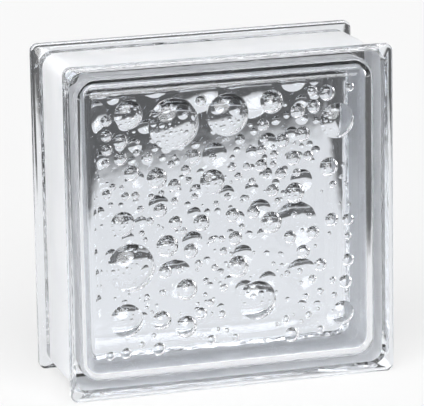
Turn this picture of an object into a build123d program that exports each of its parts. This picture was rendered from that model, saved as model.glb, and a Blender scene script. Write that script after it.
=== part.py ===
"""Hollow glass block for walls and windows, standing on its edge as it is laid in a course.

Millimetres, +Z up. The front face looks towards -Y, and the origin is on the floor
under the middle of the block. Two pressed halves are fused at mid-depth into one piece
of glass with a sealed hollow. Their panes carry a bubble relief on the inside.
"""
from build123d import *
import math
import os

# Block
face_size = 197.0
block_depth = 79.0

# Lip round each face: a rounded rim with a sloped flank behind it
lip_thickness = 4.6
lip_corner_radius = 4.5
lip_edge_radius = 1.8
lip_back_chamfer = 1.2
flank_land = 1.9
flank_run = 2.4

# Mortar channel between the lips
channel_depth = 4.0
channel_corner_radius = 8.0

# Fused seam at mid-depth, where glass has squeezed out on both sides of the wall
seam_bead_width = 3.0
seam_bead_height = 0.4

# Sealed hollow: a wall of even thickness, with a wide round at its corners and into the pane
pane_thickness = 8.0
wall_thickness = 4.4
hollow_round = 12.0

# White coat on the floor of the mortar channel, which mortar keys to. A margin of bare
# glass is left beside each flank
coat_thickness = 0.5
coat_margin = 10.0

# Bubble relief, pressed into the inside of each pane
largest_bubble = 30.0
dish_share = 0.15
reach_share = 0.56

# How far a tool shape runs on into a space that is already open
overrun = 0.4

# The larger bubbles: across and up, as shares of the room that the flat of the pane leaves
# the bubble's centre, and the diameter as a share of the largest bubble
bubble_shares = [
    (-0.54, 0.99, 1.00),
    (-0.97, -0.36, 0.96),
    (-0.01, 0.99, 0.83),
    (0.24, -0.75, 0.78),
    (0.99, 0.82, 0.69),
    (-0.95, -0.80, 0.67),
    (-0.87, 0.99, 0.56),
    (-0.15, 0.35, 0.50),
    (-0.92, 0.06, 0.48),
    (0.97, -0.87, 0.47),
    (0.37, 0.98, 0.46),
    (0.06, -0.39, 0.44),
]

# Places worked out from the sizes above
mid_height = face_size / 2
front_y = -block_depth / 2
lip_back_y = front_y + lip_thickness
channel_front_y = lip_back_y + flank_run
coat_front_y = channel_front_y + coat_margin
pane_inner_y = front_y + pane_thickness
channel_size = face_size - 2 * channel_depth
hollow_size = channel_size - 2 * wall_thickness
pane_flat = hollow_size - 2 * hollow_round
flank_top_size = face_size - 2 * flank_land


def square_at(y, size, corner_radius):
    """A square outline with round corners, set across the depth at y."""
    across = Plane(origin=(0, y, mid_height), x_dir=(1, 0, 0), z_dir=(0, 1, 0))
    return across * RectangleRounded(size, size, corner_radius)


def prism(start_y, end_y, size, corner_radius):
    """A square bar with round corners, from one depth to another."""
    return extrude(square_at(start_y, size, corner_radius), amount=end_y - start_y)


def widening_prism(start_y, length, start_size, end_size, corner_radius):
    """A square bar with round corners that widens evenly along the depth."""
    slope = math.degrees(math.atan2((end_size - start_size) / 2, abs(length)))
    return extrude(square_at(start_y, start_size, corner_radius), amount=length, taper=-slope)


def seam_ridge(size, corner_radius):
    """A bar at mid-depth with its two rims chamfered down by the bead's height."""
    ridge = prism(-seam_bead_width / 2, seam_bead_width / 2, size, corner_radius)
    rims = edges_at(ridge, -seam_bead_width / 2) + edges_at(ridge, seam_bead_width / 2)
    return chamfer(rims, seam_bead_height)


def edges_at(solid, y):
    """The edges that lie flat across the depth at y."""
    return solid.edges().filter_by_position(Axis.Y, y - overrun / 2, y + overrun / 2)


def turned_round(half):
    """The other half: the same pressing, turned round to face the first."""
    return half.rotate(Axis.Z, 180)


def outside_half():
    """Front half of the outside: rounded lip, sloped flank and the channel's floor."""
    lip = prism(front_y, lip_back_y, face_size, lip_corner_radius)
    lip = fillet(edges_at(lip, front_y), lip_edge_radius)
    lip = chamfer(edges_at(lip, lip_back_y), lip_back_chamfer)
    flank = widening_prism(
        channel_front_y, -flank_run, channel_size, flank_top_size, channel_corner_radius
    )
    return lip + flank + prism(lip_back_y, 0, channel_size, channel_corner_radius)


def outside():
    """The block's outside, filled: both halves with the bead that their seam left."""
    half = outside_half()
    bead_size = channel_size + 2 * seam_bead_height
    bead = seam_ridge(bead_size, channel_corner_radius + seam_bead_height)
    return half + turned_round(half) + bead


def bubble(across_share, up_share, size_share):
    """A dish pressed into the pane: a shallow cap of a ball, run on a little into the hollow."""
    diameter = size_share * largest_bubble
    dish = dish_share * diameter
    ball_radius = ((diameter / 2) ** 2 + dish**2) / (2 * dish)
    room = pane_flat / 2 - reach_share * diameter
    across = across_share * room
    up = mid_height + up_share * room
    ball_centre = (across, pane_inner_y + ball_radius - dish, up)
    ball = Pos(ball_centre) * Sphere(ball_radius, rotation=(0, 0, 90))
    mouth = Plane(origin=(across, pane_inner_y + overrun, up), z_dir=(0, -1, 0)) * Circle(diameter)
    return ball & extrude(mouth, amount=overrun + diameter)


def hollow_half():
    """Front half of the hollow, rounded all over, with the bubbles of its pane."""
    pane = Plane(origin=(0, pane_inner_y, mid_height), z_dir=(0, 1, 0)) * Rectangle(hollow_size, hollow_size)
    half = extrude(pane, amount=-pane_inner_y)
    half = fillet(edges_at(half, pane_inner_y) + half.edges().filter_by(Axis.Y), hollow_round)
    return half + [bubble(*shares) for shares in bubble_shares]


def hollow():
    """The sealed hollow, with the seam's bead standing into it."""
    half = hollow_half()
    bead_end = seam_bead_width / 2
    neck_size = hollow_size - 2 * seam_bead_height
    neck_radius = hollow_round - seam_bead_height
    flare = widening_prism(
        bead_end - seam_bead_height, seam_bead_height, neck_size, hollow_size, neck_radius
    )
    neck = prism(-bead_end, bead_end, neck_size, neck_radius) + flare + turned_round(flare)
    bead = prism(-bead_end, bead_end, channel_size, channel_corner_radius) - neck
    return half + turned_round(half) - bead


def edge_coating(filled_block):
    """The white coat: a thin band all round, on the channel floor and over the seam bead."""
    band = prism(
        coat_front_y,
        -coat_front_y,
        channel_size + 2 * coat_thickness,
        channel_corner_radius + coat_thickness,
    )
    bead_rise = seam_bead_height + coat_thickness
    band += seam_ridge(channel_size + 2 * bead_rise, channel_corner_radius + bead_rise)
    return band - filled_block


def main():
    os.makedirs("parts", exist_ok=True)
    filled_block = outside()
    pieces = {
        "glass_body": filled_block - hollow(),
        "edge_coating": edge_coating(filled_block),
    }
    for name, solid in pieces.items():
        export_step(solid, f"parts/{name}.step")
        print(name, len(solid.solids()), "solid", round(solid.volume), "mm3")


main()
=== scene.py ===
# %% [markdown]
# # A hollow glass block with bubbles in its panes
#
# The object is a square block of clear glass for walls and windows. Two shallow dishes of
# glass were pressed in a mould and fused rim to rim, so the block is hollow and sealed.
# Each pane has a bubble relief on the inside, and the mortar channel round the edge is
# painted white. In Blender almost all of its look comes from how light bends in the glass,
# so this lesson spends its effort on clean, closed surfaces with true sizes, and on what
# stands round the block for the glass to show.

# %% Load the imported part
import bpy
import bmesh
import math
import random
from mathutils import Matrix, Vector


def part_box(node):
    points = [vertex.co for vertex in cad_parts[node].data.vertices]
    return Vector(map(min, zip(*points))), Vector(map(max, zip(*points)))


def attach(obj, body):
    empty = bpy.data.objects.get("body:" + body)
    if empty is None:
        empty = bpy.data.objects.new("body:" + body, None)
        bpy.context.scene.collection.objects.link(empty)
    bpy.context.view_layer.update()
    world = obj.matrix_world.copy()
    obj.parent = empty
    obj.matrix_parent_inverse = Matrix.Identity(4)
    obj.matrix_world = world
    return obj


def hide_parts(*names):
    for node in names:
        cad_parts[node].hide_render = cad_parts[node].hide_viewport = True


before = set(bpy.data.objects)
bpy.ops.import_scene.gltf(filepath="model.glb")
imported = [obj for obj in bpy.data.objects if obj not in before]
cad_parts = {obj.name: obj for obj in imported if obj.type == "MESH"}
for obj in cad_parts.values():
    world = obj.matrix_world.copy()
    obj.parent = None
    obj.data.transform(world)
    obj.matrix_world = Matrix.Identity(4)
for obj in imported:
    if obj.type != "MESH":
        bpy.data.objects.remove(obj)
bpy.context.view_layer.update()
MM = 0.001

# %% [markdown]
# ## Sizes
#
# The frame gives the outside of the block. Its section is written in millimetres in the
# steps below, because the glass has surfaces inside that a box does not tell. Every ring and
# every dish is worked out from those values.

# %% Outside of the block
low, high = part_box("glass_body")
FACE = high.x - low.x
FRONT = low.y
MIDDLE = (low + high) / 2
print("block", round(FACE / MM, 1), "x", round((high.y - low.y) / MM, 1), "mm")

# %% [markdown]
# ## Camera
#
# The photograph was taken with a long lens from a little above and to the left, so the
# block's edges stay almost parallel. The angles, the distance and the focal length come
# from a fit of the block's corners in the picture. A slight roll is kept too.

# %% Long lens from the upper left
PHOTO_WIDTH = 424
CAMERA_TURN = math.radians(-16.84)
CAMERA_RISE = math.radians(13.98)
CAMERA_ROLL = math.radians(-0.95)
CAMERA_DISTANCE = 2169 * MM
FOCAL_PIXELS = 3697
AIM_RIGHT = -0.46 * MM
AIM_UP = 2.91 * MM
SENSOR_MM = 36.0

camera_data = bpy.data.cameras.new("long_lens")
camera_data.sensor_fit = "HORIZONTAL"
camera_data.sensor_width = SENSOR_MM
camera_data.lens = FOCAL_PIXELS * SENSOR_MM / PHOTO_WIDTH
camera = bpy.data.objects.new("long_lens", camera_data)
bpy.context.scene.collection.objects.link(camera)
bpy.context.scene.camera = camera

back = Vector((
    math.sin(CAMERA_TURN) * math.cos(CAMERA_RISE),
    -math.cos(CAMERA_TURN) * math.cos(CAMERA_RISE),
    math.sin(CAMERA_RISE),
))
right = (-back).cross(Vector((0, 0, 1))).normalized()
up = right.cross(-back)
rolled_right = math.cos(CAMERA_ROLL) * right + math.sin(CAMERA_ROLL) * up
rolled_up = math.cos(CAMERA_ROLL) * up - math.sin(CAMERA_ROLL) * right
place = MIDDLE + back * CAMERA_DISTANCE + rolled_right * AIM_RIGHT + rolled_up * AIM_UP
turn = Matrix((rolled_right, rolled_up, back)).transposed().to_4x4()
camera.matrix_world = Matrix.Translation(place) @ turn
print("lens", round(camera_data.lens), "mm at", round(CAMERA_DISTANCE, 2), "m")

# %% [markdown]
# ## Rings: the section carried round a square
#
# A bottle would be a profile spun round an axis. This block is the square cousin of that:
# the same section runs round a square with round corners. So each point of the section is
# one ring, a quad whose four corners are bevelled round, and neighbouring rings are bridged.
# Glass shows every wrong normal, so the rounds of the section are tangent arcs of rings, and
# a narrow collar of flat glass keeps their shading off the wide flat faces.

# %% One ring
CORNER_STEPS = 10


def ring(mesh, y, half, corner):
    """The edges of a square with round corners, across the depth at y."""
    made = bmesh.ops.create_grid(mesh, x_segments=1, y_segments=1, size=half)
    upright = Matrix.Rotation(math.radians(90), 3, "X")
    bmesh.ops.rotate(mesh, verts=made["verts"], cent=(0, 0, 0), matrix=upright)
    bmesh.ops.translate(mesh, verts=made["verts"], vec=(MIDDLE.x, y, MIDDLE.z))
    bevelled = bmesh.ops.bevel(
        mesh,
        geom=made["verts"],
        affect="VERTICES",
        offset=corner,
        offset_type="OFFSET",
        segments=CORNER_STEPS,
        profile=0.5,
        material=-1,
    )
    face = bevelled["verts"][0].link_faces[0]
    edges = list(face.edges)
    bmesh.ops.delete(mesh, geom=[face], context="FACES_ONLY")
    return edges


print("steps of a ring's corner:", CORNER_STEPS)

# %% Rounds of the section
ROUND_STEPS = 12


def rounded(points):
    """Turns the section's corners that have a round into tangent arcs.

    A point is (y, half size, corner radius in plan, round). A point of an arc keeps the
    plan corner parallel to the one it rounds.
    """
    rings = []
    for index, (y, half, corner, radius) in enumerate(points):
        if not radius:
            rings.append((y, half, corner))
            continue
        here = Vector((y, half))
        to_last = (Vector(points[index - 1][:2]) - here).normalized()
        to_next = (Vector(points[index + 1][:2]) - here).normalized()
        opening = to_last.angle(to_next)
        centre = here + (to_last + to_next).normalized() * radius / math.sin(opening / 2)
        first = (here + to_last * radius / math.tan(opening / 2) - centre).normalized()
        last = (here + to_next * radius / math.tan(opening / 2) - centre).normalized()
        for step in range(ROUND_STEPS + 1):
            spot = centre + first.slerp(last, step / ROUND_STEPS) * radius
            rings.append((spot.x, spot.y, corner + spot.y - half))
    return rings


print("steps of a round:", ROUND_STEPS)


# %% Rings bridged into a skin
def mirrored(half_section):
    """A half section, and the same pressing turned round behind it."""
    return half_section + [(2 * MIDDLE.y - y, *rest) for y, *rest in reversed(half_section)]


def square_skin(mesh, rings):
    """Bridges the rings into one skin and returns its first and last loop of edges."""
    loops = [ring(mesh, *one) for one in rings]
    for loop, next_loop in zip(loops, loops[1:]):
        bmesh.ops.bridge_loops(mesh, edges=loop + next_loop)
    return loops[0], loops[-1]


def open_edges(mesh):
    """How many edges of a skin do not have a face on both sides."""
    return sum(not edge.is_manifold for edge in mesh.edges)


# %% [markdown]
# ## Outside of the glass
#
# From the front face back: a rounded lip, its sloped flank, the floor of the mortar channel,
# and a low bead at mid-depth where the two hot halves were pressed together. An extruded
# square with bevelled edges would give the lip alone, so all of it is one run of rings.

# %% Sizes of the outside
LIP_THICKNESS = 4.6 * MM
LIP_CORNER = 4.5 * MM
LIP_ROUND = 1.8 * MM
LIP_BACK_ROUND = 1.2 * MM
FLANK_LAND = 1.9 * MM
FLANK_RUN = 2.4 * MM
CHANNEL_DEPTH = 4.0 * MM
CHANNEL_CORNER = 8.0 * MM
BEAD_WIDTH = 3.0 * MM
BEAD_HEIGHT = 0.4 * MM
COLLAR = 0.25 * MM

CHANNEL = FACE - 2 * CHANNEL_DEPTH
LIP_BACK = FRONT + LIP_THICKNESS
CHANNEL_FRONT = LIP_BACK + FLANK_RUN
BEAD_FOOT = MIDDLE.y - BEAD_WIDTH / 2
print("floor of the channel:", round(CHANNEL / MM, 1), "mm across")

# %% Outer skin
outer_half = [
    (FRONT, FACE / 2 - LIP_ROUND - COLLAR, LIP_CORNER - LIP_ROUND - COLLAR, 0),
    (FRONT, FACE / 2, LIP_CORNER, LIP_ROUND),
    (LIP_BACK, FACE / 2, LIP_CORNER, LIP_BACK_ROUND),
    (LIP_BACK, FACE / 2 - FLANK_LAND, LIP_CORNER - FLANK_LAND, 0),
    (CHANNEL_FRONT, CHANNEL / 2, CHANNEL_CORNER, 0),
    (BEAD_FOOT, CHANNEL / 2, CHANNEL_CORNER, 0),
    (BEAD_FOOT + BEAD_HEIGHT, CHANNEL / 2 + BEAD_HEIGHT, CHANNEL_CORNER + BEAD_HEIGHT, 0),
]
glass = bmesh.new()
for end_loop in square_skin(glass, mirrored(rounded(outer_half))):
    bmesh.ops.edgeloop_fill(glass, edges=end_loop)
print("outer skin:", len(glass.faces), "faces, open edges:", open_edges(glass))

# %% [markdown]
# ## The sealed hollow
#
# The hollow is a second closed skin inside the first. Its walls are of even thickness, with a
# wide round where they run into each pane, because pressed glass flows badly into a sharp
# corner. The seam's bead stands into it too. It could be cut out with a boolean, but rings
# keep its rounds clean. Its faces have to look into the hollow, because that side is air and
# the other is glass. Its two ends stay open for now: they become the panes.

# %% Inner skin
PANE_THICKNESS = 8.0 * MM
WALL = 4.4 * MM
HOLLOW_ROUND = 12.0 * MM

HOLLOW = CHANNEL - 2 * WALL
HOLLOW_CORNER = HOLLOW_ROUND + 2 * COLLAR
PANE_FLAT = HOLLOW - 2 * HOLLOW_ROUND
PANE_Y = FRONT + PANE_THICKNESS
inner_half = [
    (PANE_Y, PANE_FLAT / 2 - COLLAR, COLLAR, 0),
    (PANE_Y, HOLLOW / 2, HOLLOW_CORNER, HOLLOW_ROUND),
    (BEAD_FOOT, HOLLOW / 2, HOLLOW_CORNER, 0),
    (BEAD_FOOT + BEAD_HEIGHT, HOLLOW / 2 - BEAD_HEIGHT, HOLLOW_CORNER - BEAD_HEIGHT, 0),
]
hollow = bmesh.new()
pane_loops = square_skin(hollow, mirrored(rounded(inner_half)))
print("inner skin:", len(hollow.faces), "faces, flat of the pane", round(PANE_FLAT / MM, 1), "mm")

# %% [markdown]
# ## Bubbles
#
# The relief looks like air bubbles under water. Each one is a shallow dish pressed into the
# inside of the pane, a cap of a ball with a softened rim. A dish in glass spreads light, so
# it shows a small upright picture of what lies behind: dark from above, bright from below.
# The smaller a bubble is, the deeper it is for its width, which gives it a darker cap.
# A profile from the dish's middle to its rim is spun full circle once for each size class,
# in a mesh of its own because a spin slows down in a crowded one, and copies are set in
# place. The flat glass between them is then filled in one go, with the rims as holes.

# %% Table of the bubbles
# Across and up as shares of the room that the flat of the pane leaves the bubble, and the
# diameter as a share of the largest. The first twelve are in the CAD model too.
BUBBLE_SHARES = [
    (-0.54, 0.99, 1.00), (-0.97, -0.36, 0.96), (-0.01, 0.99, 0.83), (0.24, -0.75, 0.78),
    (0.99, 0.82, 0.69), (-0.95, -0.80, 0.67), (-0.87, 0.99, 0.56), (-0.15, 0.35, 0.50),
    (-0.92, 0.06, 0.48), (0.97, -0.87, 0.47), (0.37, 0.98, 0.46), (0.06, -0.39, 0.44),
    (-0.54, -0.16, 0.44), (-0.38, -0.54, 0.43), (-0.39, -0.85, 0.43), (0.35, -0.04, 0.43),
    (0.55, 0.19, 0.40), (-0.61, 0.41, 0.40), (-0.59, -0.77, 0.38), (0.84, 0.38, 0.37),
    (-0.24, 0.01, 0.33), (0.82, 0.98, 0.31), (-0.88, 0.72, 0.28), (-0.80, 0.46, 0.30),
    (0.51, 0.98, 0.30), (0.61, 0.66, 0.30), (0.57, 0.85, 0.29), (0.70, 0.87, 0.26),
    (0.68, 0.98, 0.20), (0.98, 0.98, 0.17), (0.44, 0.62, 0.28), (0.28, 0.63, 0.17),
    (0.26, 0.55, 0.20), (0.36, 0.50, 0.17), (0.28, 0.75, 0.24), (0.53, 0.47, 0.29),
    (0.26, 0.43, 0.24), (0.35, 0.42, 0.14), (0.42, 0.35, 0.24), (0.54, 0.34, 0.16),
    (0.64, 0.47, 0.20), (0.83, 0.22, 0.15), (0.18, 0.30, 0.15), (0.29, 0.34, 0.14),
    (0.07, 0.35, 0.16), (0.02, 0.43, 0.18), (0.14, 0.42, 0.16), (0.35, 0.22, 0.25),
    (0.02, 0.05, 0.28), (0.19, 0.06, 0.26), (0.17, 0.14, 0.12), (0.38, 0.13, 0.13),
    (-0.29, 0.55, 0.28), (-0.13, 0.52, 0.15), (-0.35, 0.44, 0.20), (-0.46, 0.49, 0.15),
    (-0.45, 0.33, 0.25), (-0.32, 0.35, 0.14), (-0.28, 0.29, 0.12), (-0.54, 0.27, 0.12),
    (-0.62, 0.25, 0.12), (-0.44, 0.20, 0.15), (-0.28, 0.22, 0.14), (-0.57, 0.14, 0.27),
    (-0.11, 0.15, 0.12), (-0.02, 0.20, 0.15), (-0.71, 0.16, 0.14), (-0.75, 0.36, 0.14),
    (-0.83, 0.27, 0.17), (-0.75, 0.27, 0.16), (-0.92, 0.35, 0.13), (-0.98, 0.30, 0.18),
    (-0.98, 0.88, 0.22), (-0.98, 0.76, 0.22), (-0.98, 0.65, 0.22), (-0.88, 0.58, 0.26),
    (-0.98, 0.54, 0.16), (-0.98, 0.43, 0.26), (-0.73, 0.60, 0.14), (-0.65, 0.57, 0.19),
    (-0.22, 0.98, 0.22), (-0.45, 0.03, 0.27), (-0.64, 0.06, 0.16), (-0.70, -0.03, 0.12),
    (-0.37, -0.04, 0.14), (-0.33, -0.21, 0.29), (-0.54, -0.36, 0.26), (-0.15, -0.13, 0.14),
    (-0.07, -0.13, 0.14), (0.04, -0.14, 0.28), (-0.06, -0.23, 0.16), (-0.13, -0.35, 0.14),
    (-0.41, -0.34, 0.15), (-0.26, -0.31, 0.16), (-0.20, -0.45, 0.13), (-0.06, -0.52, 0.16),
    (-0.17, -0.63, 0.16), (-0.25, -0.72, 0.24), (-0.08, -0.73, 0.16), (-0.57, -0.62, 0.13),
    (-0.55, -0.51, 0.14), (-0.67, -0.53, 0.12), (-0.74, -0.58, 0.12), (-0.48, -0.68, 0.12),
    (-0.72, -0.90, 0.12), (-0.86, -0.98, 0.22), (-0.60, -0.98, 0.26), (-0.98, -0.98, 0.18),
    (-0.17, -0.93, 0.19), (0.09, -0.05, 0.13), (0.51, 0.01, 0.12), (0.63, -0.01, 0.12),
    (0.49, -0.17, 0.26), (0.68, -0.15, 0.26), (0.60, -0.30, 0.28), (0.84, -0.06, 0.27),
    (0.74, -0.42, 0.26), (0.97, -0.07, 0.24), (0.95, -0.20, 0.15), (0.97, -0.40, 0.25),
    (0.95, -0.58, 0.27), (0.72, -0.62, 0.15), (0.60, -0.65, 0.14), (0.66, -0.52, 0.17),
    (0.82, -0.54, 0.14), (0.83, -0.66, 0.13), (0.45, -0.45, 0.13), (0.55, -0.44, 0.12),
    (0.44, -0.82, 0.16), (0.72, -0.93, 0.16), (0.62, -0.80, 0.14), (0.03, -0.60, 0.13),
    (0.03, -0.92, 0.14), (0.50, -0.98, 0.30),
]
print("bubbles in the table:", len(BUBBLE_SHARES))

# %% Places of the bubbles and of scattered specks
LARGEST_BUBBLE = 30.0 * MM
REACH_SHARE = 0.56
SPECK_SHARES = (0.06, 0.10)
SPREAD_SHARES = (-0.97, 0.97)
SPECK_TRIES = 150
BUBBLE_SEED = 19


def bubble_places():
    """Across, up and diameter of every bubble of one pane: the table, then scattered specks."""
    draw = random.Random(BUBBLE_SEED)
    specks = [
        (draw.uniform(*SPREAD_SHARES), draw.uniform(*SPREAD_SHARES), draw.uniform(*SPECK_SHARES))
        for _ in range(SPECK_TRIES)
    ]
    places = []
    for across_share, up_share, size_share in BUBBLE_SHARES + specks:
        diameter = size_share * LARGEST_BUBBLE
        room = PANE_FLAT / 2 - REACH_SHARE * diameter
        across = across_share * room
        rise = up_share * room
        if all(math.hypot(across - x, rise - z) > REACH_SHARE * (diameter + d) for x, z, d in places):
            places.append((across, rise, diameter))
    return places


places = bubble_places()
print("bubbles a pane:", len(places))

# %% One dish for each size class
# A class has a diameter that its bubbles stay under, their depth as a share of their own
# diameter, and the steps round the turn, along the ball and along the softened rim
RIM_SHARE = 0.04
COLLAR_SHARE = 0.01
SAME_SPOT = 1e-6
SMALL_DISH_SHARE = 0.24
MIDDLE_DISH_SHARE = 0.22
LARGE_DISH_SHARE = 0.15
SIZE_CLASSES = [
    (4.0 * MM, SMALL_DISH_SHARE, 14, 3, 2),
    (7.0 * MM, SMALL_DISH_SHARE, 20, 5, 3),
    (14.0 * MM, MIDDLE_DISH_SHARE, 32, 7, 3),
    (math.inf, LARGE_DISH_SHARE, 52, 11, 4),
]


def dish_profile(dish, ball_steps, rim_steps):
    """Radius and depth, from the middle of a dish of diameter 1 to the collar on the flat."""
    half = 1 / 2
    ball = (half**2 + dish**2) / (2 * dish)
    rim_out = math.sqrt((ball + RIM_SHARE) ** 2 - (ball - dish + RIM_SHARE) ** 2)
    meet = math.asin(rim_out / (ball + RIM_SHARE))
    points = []
    for step in range(ball_steps + 1):
        angle = meet * step / ball_steps
        points.append((ball * math.sin(angle), dish - ball * (1 - math.cos(angle))))
    for step in range(1, rim_steps + 1):
        angle = meet * (1 - step / rim_steps)
        points.append((rim_out - RIM_SHARE * math.sin(angle), RIM_SHARE * (1 - math.cos(angle))))
    points.append((rim_out + COLLAR_SHARE, 0))
    return points


def spun_dish(dish, turn_steps, ball_steps, rim_steps):
    """A dish of diameter 1 that sinks towards -Y from the plane y = 0."""
    work = bmesh.new()
    profile = dish_profile(dish, ball_steps, rim_steps)
    line = [work.verts.new((radius, -depth, 0)) for radius, depth in profile]
    edges = [work.edges.new(pair) for pair in zip(line, line[1:])]
    bmesh.ops.spin(
        work,
        geom=line + edges,
        cent=(0, 0, 0),
        axis=(0, 1, 0),
        angle=math.radians(360),
        steps=turn_steps,
        use_merge=True,
    )
    bmesh.ops.remove_doubles(work, verts=work.verts, dist=SAME_SPOT)
    made = bpy.data.meshes.new("dish")
    work.to_mesh(made)
    work.free()
    return made


dishes = [(limit, spun_dish(*shape)) for limit, *shape in SIZE_CLASSES]
print("faces of a dish in each class:", [len(made.polygons) for limit, made in dishes])


# %% Press the bubbles into both panes
def pressed_pane(mesh, edge_loop, pane_y, sink, bubbles):
    """Sets the dishes in the pane and fills the flat glass. Sink is -1 towards -Y, 1 towards +Y."""
    rims = list(edge_loop)
    for across, rise, diameter in bubbles:
        dish = next(made for limit, made in dishes if diameter < limit).copy()
        set_in = Matrix.Translation((MIDDLE.x + across, pane_y, MIDDLE.z + rise))
        size = Matrix.Diagonal((diameter, -sink * diameter, diameter, 1))
        dish.transform(set_in @ size)
        known = len(mesh.edges)
        mesh.from_mesh(dish)
        mesh.edges.ensure_lookup_table()
        rims += [edge for edge in mesh.edges[known:] if edge.is_boundary]
        bpy.data.meshes.remove(dish)
    bmesh.ops.triangle_fill(mesh, use_beauty=True, edges=rims, normal=(0, 1, 0))


turned_places = [(-across, rise, diameter) for across, rise, diameter in places]
pressed_pane(hollow, pane_loops[0], PANE_Y, -1, places)
pressed_pane(hollow, pane_loops[1], 2 * MIDDLE.y - PANE_Y, 1, turned_places)
print("faces in the hollow:", len(hollow.faces), "open edges:", open_edges(hollow))

# %% A finished bmesh as an object
SHARP = math.radians(35)


def finished(work, name):
    """Shades a bmesh smooth up to its sharp edges and sets it in the scene as an object."""
    for face in work.faces:
        face.smooth = True
    for edge in work.edges:
        edge.smooth = edge.calc_face_angle(0) < SHARP
    mesh = bpy.data.meshes.new(name)
    work.to_mesh(mesh)
    work.free()
    piece = bpy.data.objects.new(name, mesh)
    bpy.context.scene.collection.objects.link(piece)
    print(name, "has", sum(len(face.vertices) - 2 for face in mesh.polygons), "triangles")
    return piece


# %% Join both skins into one piece of glass
bmesh.ops.recalc_face_normals(hollow, faces=hollow.faces)
bmesh.ops.recalc_face_normals(glass, faces=glass.faces)
bmesh.ops.reverse_faces(hollow, faces=hollow.faces)
hollow_mesh = bpy.data.meshes.new("hollow")
hollow.to_mesh(hollow_mesh)
hollow.free()
glass.from_mesh(hollow_mesh)
bpy.data.meshes.remove(hollow_mesh)
block = finished(glass, "pressed_glass_block")

# %% [markdown]
# ## White coat
#
# The coat is a thin band of matt paint on the floor of the channel. It has its own thickness,
# so it is a closed band of rings as well. Below it follows the bead. On top the paint has
# flowed before it dried, so it rises to the bead in a gentle slope and shows no sharp line.

# %% Coat band
COAT = 0.5 * MM
COAT_MARGIN = 10.0 * MM
COAT_SINK = 0.03 * MM
COAT_EDGE = CHANNEL_FRONT + COAT_MARGIN
COAT_FLOW = 7.0 * MM


def coat_rings(slope_foot, lift):
    """Rings along the channel floor and over the bead, lifted off the glass."""
    heights = [(COAT_EDGE, 0.0), (slope_foot, 0.0), (BEAD_FOOT + BEAD_HEIGHT, BEAD_HEIGHT)]
    return mirrored([
        (y, CHANNEL / 2 + height + lift, CHANNEL_CORNER + height + lift)
        for y, height in heights
    ])


coat_work = bmesh.new()
coat_top = coat_rings(BEAD_FOOT - COAT_FLOW, COAT)
coat_ends = square_skin(coat_work, coat_top + coat_rings(BEAD_FOOT, -COAT_SINK)[::-1])
bmesh.ops.bridge_loops(coat_work, edges=coat_ends[0] + coat_ends[1])
bmesh.ops.recalc_face_normals(coat_work, faces=coat_work.faces)
print("open edges of the coat:", open_edges(coat_work))
coat = finished(coat_work, "edge_coat_band")

# %% [markdown]
# ## Materials
#
# Glass could be a colour with a high gloss, but then it would not bend light. Here it is the
# real thing: a Principled shader with full transmission and the refractive index of window
# glass on closed skins, so every band and every bubble comes from the shape. The coat is a
# white paint half a millimetre thick. Paint that thin lets light through, which is why the
# block's rim glows softly from the inside, so a share of it is a translucent shader.

# %% Node helper and colours
def linear(hex_colour):
    """An sRGB hex colour as linear red, green, blue and alpha."""
    parts = [int(hex_colour[i : i + 2], 16) / 255 for i in (1, 3, 5)]
    return tuple(p / 12.92 if p <= 0.04045 else ((p + 0.055) / 1.055) ** 2.4 for p in parts) + (1.0,)


def add(tree, kind, inputs=None, **settings):
    """Adds a node, sets it, and fills its inputs with values or links."""
    node = tree.nodes.new(kind)
    for name, value in settings.items():
        setattr(node, name, value)
    for name, value in (inputs or {}).items():
        if isinstance(value, bpy.types.NodeSocket):
            tree.links.new(value, node.inputs[name])
        else:
            node.inputs[name].default_value = value
    return node


def material(name):
    """An empty node material and its output."""
    made = bpy.data.materials.new(name)
    made.use_nodes = True
    made.node_tree.nodes.clear()
    return made, made.node_tree, add(made.node_tree, "ShaderNodeOutputMaterial")


print("middle grey in linear light:", [round(part, 3) for part in linear("#808080")])

# %% [markdown]
# ### Pressed soda-lime glass
#
# A plunger pressed the halves and a flame polished them. So the surface is bright and smooth,
# but not as flat as float glass: it has slow waves of a centimetre or so, which bend
# reflections a little. Handling leaves a thin uneven film on it. The glass is clear with a
# breath of cool grey.

# %% Pressed soda-lime glass
WAVE_SIZE = 9.0 * MM
WAVE_HEIGHT = 0.08 * MM
FILM_SIZE = 35.0 * MM
FILM_THIN = 0.35
FILM_THICK = 0.75
CLEAN_ROUGHNESS = 0.0
FILM_ROUGHNESS = 0.02
SODA_LIME_IOR = 1.52

pressed_glass, tree, output = material("pressed_soda_lime_glass")
spot = add(tree, "ShaderNodeTexCoord")
on_piece = spot.outputs["Object"]
waves = add(tree, "ShaderNodeTexNoise", {"Vector": on_piece, "Scale": 1 / WAVE_SIZE, "Detail": 1.0})
film = add(tree, "ShaderNodeTexNoise", {"Vector": on_piece, "Scale": 1 / FILM_SIZE, "Detail": 3.0})
gloss = add(
    tree,
    "ShaderNodeMapRange",
    {
        "Value": film.outputs[0],
        "From Min": FILM_THIN,
        "From Max": FILM_THICK,
        "To Min": CLEAN_ROUGHNESS,
        "To Max": FILM_ROUGHNESS,
    },
)
wavy = add(tree, "ShaderNodeBump", {"Strength": 1.0, "Distance": WAVE_HEIGHT, "Height": waves.outputs[0]})
shader = add(
    tree,
    "ShaderNodeBsdfPrincipled",
    {
        "Base Color": linear("#F9FBFE"),
        "Roughness": gloss.outputs["Result"],
        "IOR": SODA_LIME_IOR,
        "Transmission Weight": 1.0,
        "Normal": wavy.outputs["Normal"],
    },
)
tree.links.new(shader.outputs["BSDF"], output.inputs["Surface"])
block.data.materials.append(pressed_glass)
print("glass nodes:", len(tree.nodes))

# %% [markdown]
# ### Matt white edge coat
#
# The coat is brushed or sprayed on so that mortar grips the glass. It is matt, chalky and a
# little uneven: it has a fine grit, slight differences in tone where it is thinner, and it
# never shines.

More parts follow.
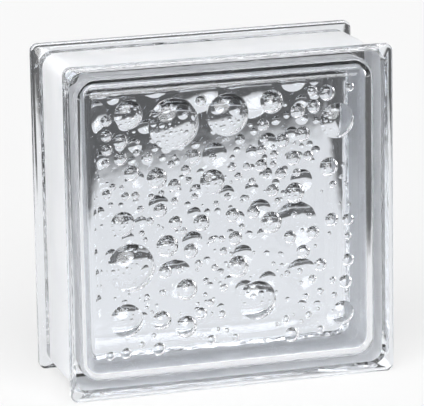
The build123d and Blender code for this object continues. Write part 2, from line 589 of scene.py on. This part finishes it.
# %% White edge coat
# The real grit is finer. It is drawn as coarse as it needs to be to show
GRIT_SIZE = 0.9 * MM
GRIT_HEIGHT = 0.06 * MM
GRIT_STRENGTH = 0.6
CLOUD_SIZE = 22.0 * MM
SMOOTHEST_COAT = 0.65
ROUGHEST_COAT = 0.85
COAT_THROUGH_SHARE = 0.65

white_coat, tree, output = material("matt_white_edge_coat")
spot = add(tree, "ShaderNodeTexCoord")
on_piece = spot.outputs["Object"]
grit = add(tree, "ShaderNodeTexNoise", {"Vector": on_piece, "Scale": 1 / GRIT_SIZE, "Detail": 2.0})
cloud = add(tree, "ShaderNodeTexNoise", {"Vector": on_piece, "Scale": 1 / CLOUD_SIZE, "Detail": 4.0})
tint = add(
    tree,
    "ShaderNodeMix",
    {"Factor": cloud.outputs[0], "A": linear("#F3F4F6"), "B": linear("#FEFEFE")},
    data_type="RGBA",
)
chalk = add(
    tree,
    "ShaderNodeMapRange",
    {"Value": cloud.outputs[0], "To Min": SMOOTHEST_COAT, "To Max": ROUGHEST_COAT},
)
gritty = add(
    tree,
    "ShaderNodeBump",
    {"Strength": GRIT_STRENGTH, "Distance": GRIT_HEIGHT, "Height": grit.outputs[0]},
)
shader = add(
    tree,
    "ShaderNodeBsdfPrincipled",
    {
        "Base Color": tint.outputs["Result"],
        "Roughness": chalk.outputs["Result"],
        "Normal": gritty.outputs["Normal"],
    },
)
through = add(tree, "ShaderNodeBsdfTranslucent", {"Color": tint.outputs["Result"]})
paint = add(
    tree,
    "ShaderNodeMixShader",
    {0: COAT_THROUGH_SHARE, 1: shader.outputs["BSDF"], 2: through.outputs["BSDF"]},
)
tree.links.new(paint.outputs[0], output.inputs["Surface"])
coat.data.materials.append(white_coat)
print("coat nodes:", len(tree.nodes))

# %% [markdown]
# ## Place in the frame
#
# Both pieces stand for a piece of the CAD model and take its place in the picture. Nothing on
# the block moves, so both ride on the one body.

# %% Ride and replace
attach(block, "root")
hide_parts("glass_body")
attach(coat, "root")
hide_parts("edge_coating")
print("in place of the CAD:", block.name, "and", coat.name)

# %% [markdown]
# ## Stage
#
# Glass has no colour of its own to speak of: it shows the room. So the room is planned: glass sees a
# pool of light painted as a glow on the floor round and behind the block, and a floor painted dim
# beyond it; a pale strip lies along the horizon, the room above is dark, and one large soft light
# hangs high at the front left.
# Each bubble shows a small picture of that: pale below, a dark line, a pale slit and a dark
# cap. The light is a patch of the world and not a lamp, because a lamp can't shine through
# glass without a caustic, and the coat's underside is only lit through the glass. Seen
# directly, the whole floor is white and keeps the block's shadow.

# %% Painted pool of light on the floor, as glass shows it
# Each limit is where the pool is still full and where it has faded, in metres
# The pool is painted light: a glow on the floor, full round and behind the block, that fades to a painted
# dim floor beyond
POOL_GLOW = 0.79
DIM_GLOW = 0.02
POOL_TURN = math.radians(25)
POOL_RIGHT = (0.31, 0.42)
POOL_FRONT = (-0.15, -0.45)
POOL_BACK = (0.38, 0.49)

floor_paint, tree, output = material("pale_floor")
spot = add(tree, "ShaderNodeTexCoord")
split = add(tree, "ShaderNodeSeparateXYZ", {"Vector": spot.outputs["Object"]})
backward = (-math.sin(POOL_TURN), math.cos(POOL_TURN), 0)
behind = add(
    tree,
    "ShaderNodeVectorMath",
    {0: spot.outputs["Object"], 1: backward},
    operation="DOT_PRODUCT",
)
painted_pool_level = POOL_GLOW
for distance, full, faded in (
    (split.outputs["X"], *POOL_RIGHT),
    (split.outputs["Y"], *POOL_FRONT),
    (behind.outputs["Value"], *POOL_BACK),
):
    limit = add(
        tree,
        "ShaderNodeMapRange",
        {"Value": distance, "From Min": full, "From Max": faded, "To Min": painted_pool_level, "To Max": DIM_GLOW},
        interpolation_type="SMOOTHSTEP",
    )
    painted_pool_level = limit.outputs["Result"]
print("pool of light: nodes so far", len(tree.nodes))

# %% Floor: white to the eye, a painted pool of light and painted shade to glass, and pale paint to everything else
PAINT = 0.8
PAINT_SEEN = 0.15
# Painted shade: glass sees the floor's paint darker than bounced light does
PAINT_SHADED_IN_GLASS = 0.05
SEEN_GLOW = 0.66

rays = add(tree, "ShaderNodeLightPath")
in_glass = add(
    tree,
    "ShaderNodeMath",
    {0: rays.outputs["Is Glossy Ray"], 1: rays.outputs["Is Transmission Ray"]},
    operation="MAXIMUM",
)
# Only glossy and transmission rays see the painted pool of light
pool = add(tree, "ShaderNodeMath", {0: in_glass.outputs[0], 1: painted_pool_level}, operation="MULTIPLY")
lift = add(
    tree,
    "ShaderNodeMath",
    {0: rays.outputs["Is Camera Ray"], 1: SEEN_GLOW, 2: pool.outputs[0]},
    operation="MULTIPLY_ADD",
)
seen_tone = add(
    tree,
    "ShaderNodeMapRange",
    {"Value": rays.outputs["Is Camera Ray"], "To Min": PAINT_SHADED_IN_GLASS, "To Max": PAINT_SEEN},
)
tone = add(
    tree,
    "ShaderNodeMapRange",
    {"Value": rays.outputs["Is Diffuse Ray"], "To Min": seen_tone.outputs["Result"], "To Max": PAINT},
)
paint = add(tree, "ShaderNodeBsdfDiffuse", {"Color": tone.outputs["Result"]})
glow = add(tree, "ShaderNodeEmission", {"Color": linear("#FFFFFF"), "Strength": lift.outputs[0]})
both = add(tree, "ShaderNodeAddShader", {0: paint.outputs["BSDF"], 1: glow.outputs["Emission"]})
tree.links.new(both.outputs[0], output.inputs["Surface"])

FLOOR_HALF = 3.0
floor_work = bmesh.new()
bmesh.ops.create_grid(floor_work, x_segments=1, y_segments=1, size=FLOOR_HALF)
floor = finished(floor_work, "floor")
floor.data.materials.append(floor_paint)
print("floor nodes:", len(tree.nodes))

# %% Dark room with a pale horizon and one large light
ROOM_DARK = 0.015
HORIZON_GLOW = 0.6
HORIZON_LOW = -0.02
HORIZON_HIGH = 0.03
LIGHT_AIM = Vector((-0.25, -0.75, 0.61)).normalized()
LIGHT_OUTSIDE = math.cos(math.radians(42))
LIGHT_INSIDE = math.cos(math.radians(34))
LIGHT_GLOW = 8.2

world = bpy.data.worlds.new("studio")
bpy.context.scene.world = world
world.use_nodes = True
tree = world.node_tree
tree.nodes.clear()
output = add(tree, "ShaderNodeOutputWorld")
sky = add(tree, "ShaderNodeTexCoord")
split = add(tree, "ShaderNodeSeparateXYZ", {"Vector": sky.outputs["Generated"]})
horizon = add(
    tree,
    "ShaderNodeMapRange",
    {
        "Value": split.outputs["Z"],
        "From Min": HORIZON_LOW,
        "From Max": HORIZON_HIGH,
        "To Min": HORIZON_GLOW,
        "To Max": ROOM_DARK,
    },
    interpolation_type="SMOOTHSTEP",
)
facing = add(
    tree,
    "ShaderNodeVectorMath",
    {0: sky.outputs["Generated"], 1: LIGHT_AIM},
    operation="DOT_PRODUCT",
)
patch = add(
    tree,
    "ShaderNodeMapRange",
    {
        "Value": facing.outputs["Value"],
        "From Min": LIGHT_OUTSIDE,
        "From Max": LIGHT_INSIDE,
        "To Min": 0.0,
        "To Max": LIGHT_GLOW,
    },
    interpolation_type="SMOOTHSTEP",
)
room = add(
    tree,
    "ShaderNodeMath",
    {0: horizon.outputs["Result"], 1: patch.outputs["Result"]},
    operation="ADD",
)
light = add(tree, "ShaderNodeBackground", {"Color": linear("#FFFFFF"), "Strength": room.outputs[0]})
tree.links.new(light.outputs["Background"], output.inputs["Surface"])
print("room nodes:", len(tree.nodes))

# %% [markdown]
# ## Picture settings
#
# A ray crosses four glass surfaces in a straight look through the block, and many more where
# it runs along the wall. With too few bounces such rays end black, so they get plenty.

# %% Bounces
BOUNCES = 32
scene = bpy.context.scene
scene.view_settings.view_transform = "Standard"
scene.cycles.max_bounces = BOUNCES
scene.cycles.transmission_bounces = BOUNCES
scene.cycles.glossy_bounces = BOUNCES // 2
scene.cycles.transparent_max_bounces = BOUNCES // 2
print("bounces:", scene.cycles.max_bounces)
